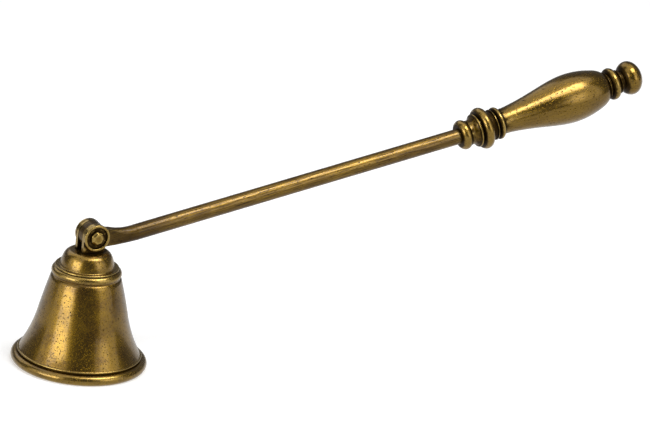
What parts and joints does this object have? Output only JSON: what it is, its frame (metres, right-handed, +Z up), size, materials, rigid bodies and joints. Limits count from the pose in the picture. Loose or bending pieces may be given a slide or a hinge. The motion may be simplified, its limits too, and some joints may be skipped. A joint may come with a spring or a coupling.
{
  "type": "candle snuffer",
  "caption": "Hinged brass candle snuffer: a flared bell with a beaded rim swings in a clevis on the eye of a slim rod, with a turned, beaded handle and a flattened ball end.",
  "frame": {"origin": "the middle of the bell's mouth, on the plane that its rim rests on", "axes": "+Z up along the bell's axis, +X towards the handle, Y along the hinge pin"},
  "size_m": [0.2139, 0.0422, 0.0859],
  "materials": {
    "bell_brass": "turned and aged brass, satin, dark in the turned lines, with fine dark pits",
    "crown_brass": "cast and aged brass, dark brown in the recesses, bright on the edges",
    "pin_brass": "peened brass, brighter than the rest",
    "rod_brass": "drawn brass rod, aged, with fine lines along it",
    "handle_brass": "turned and aged brass, bright on the crests and dark in the grooves",
    "grip_brass": "turned and aged brass, satin, with fine dark pits",
    "hidden_brass": "plain machined brass"
  },
  "bodies": {
    "handle": {"rod": "rod_brass", "front_bead": "handle_brass", "ferrule": "handle_brass", "neck_ring": "handle_brass", "grip": "grip_brass", "rear_collar": "handle_brass", "ball_finial": "grip_brass"},
    "bell": {"bell": "bell_brass", "crown": "crown_brass", "crown_washer": "hidden_brass", "crown_nut": "hidden_brass", "hinge_pin": "pin_brass", "pin_washers": "crown_brass"}
  },
  "joints": [
    {"name": "bell_swing", "type": "hinge", "parent": "handle", "child": "bell", "pos_m": [0.00085, 0, 0.04185], "axis": [0, 1, 0], "range_deg": [-12, 205]}
  ]
}
